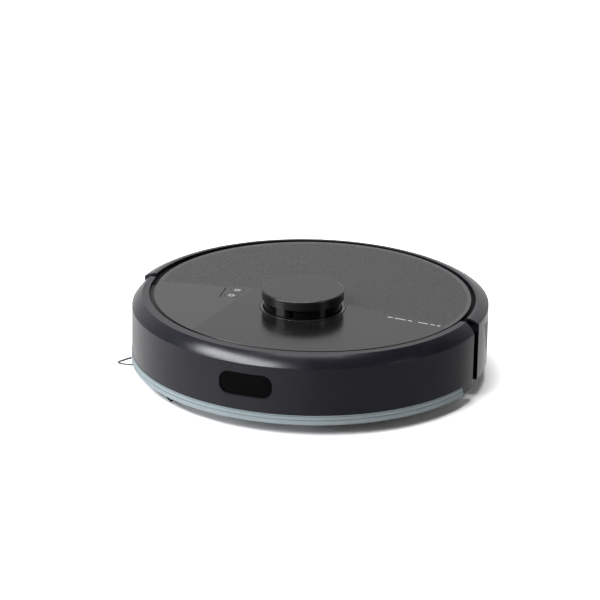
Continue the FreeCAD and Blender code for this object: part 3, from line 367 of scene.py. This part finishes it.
def lid_finish(name):
    """Satin lid.  Fields: rear where y is above the lower of two lines; ahead of that
    the right facet lies beyond a third line, and is painted a little lighter as painted light.
    Height is the lean of each facet, plus in the rear field a little of the smaller of two
    zigzags across the diagonals, which also paints the studs from dark feet as painted shade
    to light tops as a painted highlight."""
    finish = moulded(name, grey(0.003, 0.05), grey(0.005, 0.05), (0.16, 0.19), specular=0.33)
    tree = finish.node_tree
    shade = tree.nodes["Principled BSDF"]
    x, y, _ = position(tree)
    border = sums(tree, "MINIMUM", line_at(tree, x, *LEFT_LINE), line_at(tree, x, *RIGHT_LINE))
    behind = sums(tree, "SUBTRACT", y, border)
    rear = eased(tree, behind, 0.0, 0.0004)
    ridge = sums(tree, "ADD", sums(tree, "MULTIPLY", sums(tree, "ADD", y, 0.007), 0.09), -0.057)
    beyond = sums(tree, "MAXIMUM", sums(tree, "SUBTRACT", ridge, x), 0.0)
    ahead = sums(tree, "MAXIMUM", sums(tree, "MULTIPLY", behind, -1.0), 0.0)
    side = sums(tree, "MULTIPLY", eased(tree, beyond, 0.0, 0.0006),
                sums(tree, "SUBTRACT", 1.0, rear))
    zigzags = []
    for sign in (1.0, -1.0):
        along = sums(tree, "ADD", x, sums(tree, "MULTIPLY", y, sign * STUD_ASPECT))
        zigzags.append(sums(tree, "PINGPONG", along, STUD_HALF))
    stud = sums(tree, "MINIMUM", *zigzags)
    stud_share = sums(tree, "DIVIDE", stud, STUD_HALF)
    lean = sums(tree, "ADD", sums(tree, "MULTIPLY", ahead, AHEAD_LEAN),
                sums(tree, "MULTIPLY", beyond, sums(tree, "MULTIPLY", side, SIDE_LEAN)))
    raised = sums(tree, "MULTIPLY", sums(tree, "MULTIPLY", stud, rear), STUD_RELIEF)
    height = sums(tree, "ADD", lean, raised)
    fine = [n for n in tree.nodes if n.bl_idname == "ShaderNodeBump"][0]
    relief = node_at(tree, "ShaderNodeBump", Strength=1.0, Distance=1.0)
    link(tree, height, relief.inputs["Height"])
    link(tree, relief.outputs["Normal"], fine.inputs["Normal"])
    old = shade.inputs["Base Color"].links[0].from_socket
    # painted light: each stud is darker at its foot as painted shade and lighter at its top as a
    # painted highlight
    stud_painted_highlight_and_shade = mixed(tree, stud_share, grey(0.001), grey(0.050, 0.01))
    # painted light: the right facet is painted a little lighter than the rest of the lid
    facets_with_painted_lit_right = mixed(tree, side, old, grey(0.0060, 0.10))
    link(tree, mixed(tree, rear, facets_with_painted_lit_right, stud_painted_highlight_and_shade), shade.inputs["Base Color"])
    mirror = sums(tree, "ADD", SPECULAR_FOOT, sums(tree, "MULTIPLY", stud_share, SPECULAR_GAIN))
    over_smooth = sums(tree, "MULTIPLY", rear, sums(tree, "SUBTRACT", mirror, SPECULAR_SMOOTH))
    level = sums(tree, "ADD", over_smooth, SPECULAR_SMOOTH)
    link(tree, level, shade.inputs["Specular IOR Level"])
    return finish


# %% [markdown]
# ## The deck under the lid
#
# Only a narrow arc of the deck shows, as a grey collar in the gap beside the lid; the
# rest of the gap is in deep shade.  The deck is one part, so one finish does both: the
# azimuth of a point chooses grey on the collar's arc and paints black everywhere else, as
# painted shade for that deep gap.

# %% Collar finish
COLLAR_ARC = (-170.0, -112.0)


def collar_and_painted_shade_finish(name):
    """Grey where the azimuth lies on the collar's arc, black elsewhere as painted shade."""
    finish = moulded(name, grey(0.022, 0.02), grey(0.030, 0.02), (0.75, 0.9), specular=0.10)
    tree = finish.node_tree
    shade = tree.nodes["Principled BSDF"]
    x, y, _ = position(tree)
    azimuth = sums(tree, "ARCTAN2", y, x)
    start, end = (math.radians(a) for a in COLLAR_ARC)
    arc = sums(tree, "MULTIPLY", eased(tree, azimuth, start, start + 0.005),
               sums(tree, "SUBTRACT", 1.0, eased(tree, azimuth, end, end + 0.02)))
    old = shade.inputs["Base Color"].links[0].from_socket
    # off the collar's arc the deck is painted black: painted shade for the deep gap
    link(tree, mixed(tree, arc, grey(0.003), old), shade.inputs["Base Color"])
    return finish


# %% [markdown]
# ## The shells
#
# Both side shells are gloss black outside.  What lies behind their outer skin, in the
# vent slots, the seams and the window's rim, gets no light in the real object, so the
# same finish turns dull black a little below the skin.

# %% Shell finish
SKIN_RADIUS = (0.1736, 0.1742)
BEVEL_HEIGHT = (0.0660, 0.0668)
SHELL_SPECULAR = 0.25


def shell_finish(name):
    """Gloss black where the distance from the axis reaches the skin or the height reaches
    the bevel; dull black elsewhere, as painted shade."""
    finish = moulded(name, (0.0042, 0.0040, 0.0062), (0.0055, 0.0052, 0.008), (0.21, 0.26),
                     specular=SHELL_SPECULAR)
    tree = finish.node_tree
    shade = tree.nodes["Principled BSDF"]
    x, y, z = position(tree)
    radius = sums(tree, "SQRT", sums(tree, "ADD", sums(tree, "MULTIPLY", x, x),
                                     sums(tree, "MULTIPLY", y, y)), 0.0)
    skin = sums(tree, "MAXIMUM", eased(tree, radius, *SKIN_RADIUS),
                eased(tree, z, *BEVEL_HEIGHT))
    old = shade.inputs["Base Color"].links[0].from_socket
    # below the skin the colour is painted shade: dull black in the slots, seams and window rim
    link(tree, mixed(tree, skin, grey(0.0008), old), shade.inputs["Base Color"])
    link(tree, sums(tree, "MULTIPLY", skin, SHELL_SPECULAR), shade.inputs["Specular IOR Level"])
    return finish


# %% [markdown]
# ## Every finish
#
# One finish belongs to each material slot of the record.  The numbers are colour from
# dark to light, then the range of roughness.

# %% All the finishes
finishes = {
    "shell_black": shell_finish("shell_black"),
    "panel_satin": lid_finish("panel_satin"),
    "collar_grey": collar_and_painted_shade_finish("collar_grey"),
    "strip_grey": moulded("strip_grey", (0.118, 0.143, 0.150), (0.134, 0.160, 0.167),
                          (0.45, 0.55)),
    "window_black": moulded("window_black", grey(0.0005), grey(0.001), (0.04, 0.06), depth=0.0,
                            specular=0.03),
    "sensor_board": moulded("sensor_board", (0.01, 0.05, 0.03), (0.02, 0.07, 0.04), (0.4, 0.5)),
    "lever_plastic": moulded("lever_plastic", grey(0.45), grey(0.5), (0.4, 0.5)),
    "chassis_dark": moulded("chassis_dark", grey(0.018), grey(0.026), (0.45, 0.6), depth=0.00008),
    "housing_dark": moulded("housing_dark", grey(0.04), grey(0.05), (0.45, 0.6)),
    "cap_satin": moulded("cap_satin", grey(0.004, 0.05), grey(0.006, 0.05), (0.28, 0.33),
                         specular=0.31),
    "band_smoke": moulded("band_smoke", grey(0.002), grey(0.003), (0.08, 0.12), depth=0.0,
                          specular=0.25),
    "ring_black": moulded("ring_black", grey(0.006), grey(0.009), (0.16, 0.22), specular=0.5),
    "rotor_dark": moulded("rotor_dark", grey(0.02), grey(0.03), (0.4, 0.5)),
    "lidar_frame": moulded("lidar_frame", grey(0.05), grey(0.07), (0.4, 0.5)),
    "motor_steel": moulded("motor_steel", grey(0.5), grey(0.6), (0.25, 0.35), metallic=1.0),
    "pulley_white": moulded("pulley_white", grey(0.6), grey(0.7), (0.4, 0.5)),
    "belt_rubber": moulded("belt_rubber", grey(0.015), grey(0.02), (0.6, 0.7)),
    "button_satin": moulded("button_satin", grey(0.013, 0.08), grey(0.015, 0.08), (0.25, 0.30),
                            specular=0.34),
    "status_bar": moulded("status_bar", grey(0.002), grey(0.003), (0.5, 0.6), depth=0.0,
                          specular=0.04),
    "board_green": moulded("board_green", (0.01, 0.05, 0.03), (0.02, 0.07, 0.04), (0.4, 0.5)),
    "battery_wrap": moulded("battery_wrap", (0.02, 0.08, 0.30), (0.03, 0.10, 0.36), (0.25, 0.35)),
    "screw_steel": moulded("screw_steel", grey(0.2), grey(0.3), (0.3, 0.45), metallic=1.0),
    "contact_plate": moulded("contact_plate", grey(0.7), grey(0.78), (0.15, 0.25), metallic=1.0),
    "sensor_smoke": moulded("sensor_smoke", grey(0.006), grey(0.009), (0.08, 0.12), depth=0.0),
    "foam_black": moulded("foam_black", grey(0.006), grey(0.015), (0.9, 1.0), grain=0.0015,
                          depth=0.0006),
    "spring_steel": moulded("spring_steel", grey(0.4), grey(0.5), (0.25, 0.35), metallic=1.0),
    "pin_steel": moulded("pin_steel", grey(0.5), grey(0.6), (0.2, 0.3), metallic=1.0),
    "arm_plastic": moulded("arm_plastic", grey(0.03), grey(0.04), (0.45, 0.55)),
    "hub_plastic": moulded("hub_plastic", grey(0.10), grey(0.13), (0.4, 0.5)),
    "tyre_rubber": moulded("tyre_rubber", grey(0.012), grey(0.02), (0.65, 0.8), depth=0.0001),
    "caster_white": moulded("caster_white", grey(0.45), grey(0.55), (0.4, 0.5)),
    "caster_dark": moulded("caster_dark", grey(0.02), grey(0.03), (0.45, 0.55)),
    "side_hub": moulded("side_hub", grey(0.035), grey(0.05), (0.55, 0.65)),
    "bristle_nylon": moulded("bristle_nylon", grey(0.01), grey(0.03), (0.35, 0.5)),
    "brush_core": moulded("brush_core", (0.35, 0.05, 0.02), (0.42, 0.07, 0.03), (0.4, 0.5)),
    "brush_rubber": moulded("brush_rubber", grey(0.02), grey(0.03), (0.6, 0.7)),
    "guard_dark": moulded("guard_dark", grey(0.03), grey(0.04), (0.45, 0.55)),
    "bin_smoke": moulded("bin_smoke", grey(0.012), grey(0.018), (0.15, 0.22)),
    "bin_lid_dark": moulded("bin_lid_dark", grey(0.03), grey(0.04), (0.45, 0.55)),
    "latch_satin": moulded("latch_satin", grey(0.05), grey(0.06), (0.3, 0.4)),
    "filter_white": moulded("filter_white", grey(0.7), grey(0.8), (0.8, 0.9), depth=0.0002),
    "impeller_white": moulded("impeller_white", grey(0.5), grey(0.6), (0.4, 0.5)),
    "speaker_black": moulded("speaker_black", grey(0.02), grey(0.03), (0.5, 0.6)),
}

slot_of = {p["node"]: p["material_slot"] for p in frame["record"]["subparts"]}
for node_name, slot_name in slot_of.items():
    for place in nodes[node_name].material_slots:
        place.material = finishes[slot_name]
print(len(slot_of), "nodes dressed in", len(finishes), "finishes")

# %% [markdown]
# ## From arrays to a piece
#
# Every new piece is a list of points and faces worked out with arrays.  One helper turns
# them into an object, gives it a finish, and parents it to an empty for the body that carries it.

# %% Piece helper
def piece(name, points, faces, slot_name, body, smooth=True):
    """Make a mesh object from points in metres, dress it and let it ride on a body."""
    mesh = bpy.data.meshes.new(name)
    mesh.from_pydata(np.asarray(points).tolist(), [], [list(map(int, f)) for f in faces])
    mesh.materials.append(finishes[slot_name] if slot_name in finishes else extra[slot_name])
    mesh.update()
    if smooth:
        mesh.shade_smooth()
    thing = bpy.data.objects.new(name, mesh)
    scene.collection.objects.link(thing)
    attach(thing, body)
    print(name, len(points), "points", len(faces), "faces")
    return thing


def tubes(paths, radii, sides=6):
    """Closed tubes along many paths at once.  paths is (count, steps, 3), radii is
    (count, steps).  Around each point of a path stands a ring: the point plus radius
    times cosine and sine of the ring angle along two directions square to the path."""
    paths = np.asarray(paths, float)
    radii = np.asarray(radii, float)
    count, steps, _ = paths.shape
    ahead = np.gradient(paths, axis=1)
    ahead /= np.linalg.norm(ahead, axis=2, keepdims=True)
    rough = np.where(np.abs(ahead[..., 2:3]) < 0.9, [0.0, 0.0, 1.0], [1.0, 0.0, 0.0])
    across = np.cross(rough, ahead)
    across /= np.linalg.norm(across, axis=2, keepdims=True)
    third = np.cross(ahead, across)
    turn = np.linspace(0, 2 * np.pi, sides, endpoint=False)
    ring = (np.cos(turn)[:, None] * across[:, :, None, :]
            + np.sin(turn)[:, None] * third[:, :, None, :])
    points = paths[:, :, None, :] + radii[:, :, None, None] * ring
    number = np.arange(count * steps * sides).reshape(count, steps, sides)
    after = np.roll(number, -1, axis=2)
    quads = np.stack([number[:, :-1], after[:, :-1], after[:, 1:], number[:, 1:]], axis=-1)
    faces = list(quads.reshape(-1, 4))
    faces += list(number[:, 0, ::-1]) + list(number[:, -1])
    return points.reshape(-1, 3), faces


# %% [markdown]
# ## Side brush tufts
#
# Each arm of the side brush ends in a tuft whose two halves bow apart and meet again at
# the tip, so that it looks like a narrow loop.  Straight rods would look like a comb.
# Here a bristle is a path: it starts on the arm, swings out by a curve that is widest in
# the middle, droops to the floor and narrows to its tip.

# %% Side brush tufts
BRUSH_AXIS = np.array([-0.1132, -0.0745])
TUFT_AZIMUTHS = (170.0, 290.0, 50.0)
ARM_END, TUFT_REACH = 0.0295, 0.0672


def tuft_paths(azimuth, seed, count=34, steps=14):
    """Bristle paths of one tuft.  With t from 0 to 1 the distance from the axis goes from
    the arm's end to the tip; the sideways place is the half's sign times a leaf shape,
    4 t (1 - t) to the power 0.7, plus a little of the bristle's own; the height drops as
    t squared and the two halves part by a sine."""
    chance = np.random.default_rng(seed)
    t = np.linspace(0, 1, steps)[None, :]
    half = np.where(np.arange(count) % 2 == 0, 1.0, -1.0)[:, None]
    stray = chance.normal(0, 1, (count, 1))
    length = TUFT_REACH - 0.0025 * chance.random((count, 1)) ** 2
    out = ARM_END + (length - ARM_END) * t
    leaf = 0.0024 * (1 - t) + 0.0062 * (4 * t * (1 - t)) ** 0.7
    sideways = half * leaf + 0.00030 * stray * (0.6 + 0.6 * t)
    height = 0.0088 - 0.0068 * t ** 2 - half * 0.0016 * np.sin(np.pi * t)
    height += 0.0004 * chance.normal(0, 1, (count, 1)) * (1 - 0.6 * t)
    a = math.radians(azimuth)
    x = BRUSH_AXIS[0] + out * math.cos(a) - sideways * math.sin(a)
    y = BRUSH_AXIS[1] + out * math.sin(a) + sideways * math.cos(a)
    return np.stack([x, y, np.maximum(height, 0.0013)], axis=-1)


tuft_lines = np.concatenate([tuft_paths(a, 11 + i) for i, a in enumerate(TUFT_AZIMUTHS)])
thick = np.linspace(0.00055, 0.00040, tuft_lines.shape[1])[None, :].repeat(len(tuft_lines), 0)
tufts = piece("side_brush_tufts", *tubes(tuft_lines, thick, 5), "bristle_nylon", "side_brush")
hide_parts("side_brush_bristles")

# %% [markdown]
# ## Lid studs
#
# The rear of the lid is a field of small diamond studs.  Each is a low pyramid on a
# rhombus, and the rhombi stand on a slanted lattice.  One array holds every stud: the
# lattice points that fall inside the field are kept, and the same five corners are added
# to each of them.

# %% Lid studs
STUD_HEIGHT, STUD_SUNK = 0.00022, 0.00002
FOOT_SHARE = 0.88
RIM_GAP, RING_GAP, FIELD_GAP = 0.004, 0.0022, 0.0012
lid_low, lid_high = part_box("top_panel")
ring_low, ring_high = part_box("turret_base_ring")
lid_mid = (np.array(lid_low[:2]) + np.array(lid_high[:2])) / 2
ring_mid = (np.array(ring_low[:2]) + np.array(ring_high[:2])) / 2
half_x, half_y = STUD_HALF, STUD_HALF / STUD_ASPECT
i, j = np.meshgrid(np.arange(-100, 101), np.arange(-100, 101))
i, j = i[(i + j) % 2 == 1], j[(i + j) % 2 == 1]
feet = np.stack([i * half_x, j * half_y], axis=1)
border = np.minimum(LEFT_LINE[0] * feet[:, 0] + LEFT_LINE[1],
                    RIGHT_LINE[0] * feet[:, 0] + RIGHT_LINE[1])
inside = ((feet[:, 1] - border > FIELD_GAP)
          & (np.hypot(*(feet - lid_mid).T) < (lid_high[0] - lid_low[0]) / 2 - RIM_GAP)
          & (np.hypot(*(feet - ring_mid).T) > (ring_high[0] - ring_low[0]) / 2 + RING_GAP))
feet = feet[inside]
corners = np.array([[half_x, 0, 0], [0, half_y, 0], [-half_x, 0, 0], [0, -half_y, 0],
                    [0, 0, 0]]) * FOOT_SHARE
corners[:, 2] = [-STUD_SUNK] * 4 + [STUD_HEIGHT]
places = np.concatenate([feet, np.full((len(feet), 1), lid_high[2])], 1)
stud_points = corners[None] + places[:, None]
starts = 5 * np.arange(len(feet))[:, None]
stud_faces = [list(f) for f in np.concatenate([starts + [k, (k + 1) % 4, 4] for k in range(4)])]
stud_faces += [list(f) for f in starts + [3, 2, 1, 0]]
piece("lid_studs", stud_points.reshape(-1, 3), stud_faces, "panel_satin", "chassis",
      smooth=False)

# %% [markdown]
# ## Printed marks
#
# The two keys carry pale printed symbols, a broken ring with a stroke and a small house,
# and the lid has a plain row of bars as its mark.  A print is nearly flat, so each stroke
# is a thin closed ribbon that follows a line drawn with a few formulas.

# %% Printed marks
def strokes(lines, width, low, high):
    """Thin closed ribbons.  Each line is moved half the width to either side along its
    normal, and the four edges, two low and two high, are joined by faces."""
    points, faces, base = [], [], 0
    for line in lines:
        line = np.asarray(line, float)
        ahead = np.gradient(line, axis=0)
        ahead /= np.linalg.norm(ahead, axis=1, keepdims=True)
        normal = np.stack([-ahead[:, 1], ahead[:, 0]], axis=1)
        left, right = line + normal * width / 2, line - normal * width / 2
        edges = ((right, low), (left, low), (left, high), (right, high))
        points += [np.column_stack([edge, np.full(len(line), z)]) for edge, z in edges]
        number = base + np.arange(4 * len(line)).reshape(4, -1)
        after = np.roll(number, -1, axis=0)
        quads = np.stack([number[:, :-1], after[:, :-1], after[:, 1:], number[:, 1:]], axis=-1)
        faces += quads.transpose(1, 0, 2).reshape(-1, 4).tolist()
        faces += [number[:, -1].tolist(), number[::-1, 0].tolist()]
        base += 4 * len(line)
    return np.concatenate(points), faces


PRINT_SUNK, PRINT_PROUD = 0.00005, 0.00004
KEY_STROKE, BAR_WIDTH = 0.0008, 0.0013
BROKEN_RING_RADIUS = 0.0024
BAR_SPANS = ((0.0, 0.10), (0.14, 0.34), (0.39, 0.47), (0.58, 0.76), (0.81, 0.89), (0.93, 1.0))
# the prints have a finish of their own
extra = {"print_pale": moulded("print_pale", grey(0.26), grey(0.31), (0.4, 0.5))}

_, key_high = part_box("power_button")
print_low, print_high = key_high[2] - PRINT_SUNK, key_high[2] + PRINT_PROUD
arc = np.radians(np.linspace(125, 415, 25))
POWER_AT, HOME_AT = np.array([-0.0695, -0.0191]), np.array([-0.0694, -0.0352])
broken_ring = POWER_AT + BROKEN_RING_RADIUS * np.stack([np.cos(arc), np.sin(arc)], axis=1)
upright = POWER_AT + np.array([[0, 0.0004], [0, 0.0018], [0, 0.0032]])
piece("power_symbol", *strokes([broken_ring, upright], KEY_STROKE, print_low, print_high),
      "print_pale", "power_key", smooth=False)
roof = HOME_AT + MM * np.array([[-3.1, 0.2], [-1.5, 1.6], [0, 3.0], [1.5, 1.6], [3.1, 0.2]])
walls = HOME_AT + MM * np.array([[-2.1, 0.6], [-2.1, -0.8], [-2.1, -2.3], [0, -2.3],
                                 [2.1, -2.3], [2.1, -0.8], [2.1, 0.6]])
piece("home_symbol", *strokes([roof, walls], KEY_STROKE, print_low, print_high),
      "print_pale", "home_key", smooth=False)

panel_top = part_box("top_panel")[1][2]
mark_start, mark_step = np.array([0.091, -0.0318]), np.array([0.055, -0.0042])
bars = []
for first, last in BAR_SPANS:
    bars.append([mark_start + mark_step * k for k in np.linspace(first, last, 3)])
piece("lid_mark", *strokes(bars, BAR_WIDTH, panel_top - PRINT_SUNK, panel_top + PRINT_PROUD),
      "print_pale", "chassis", smooth=False)
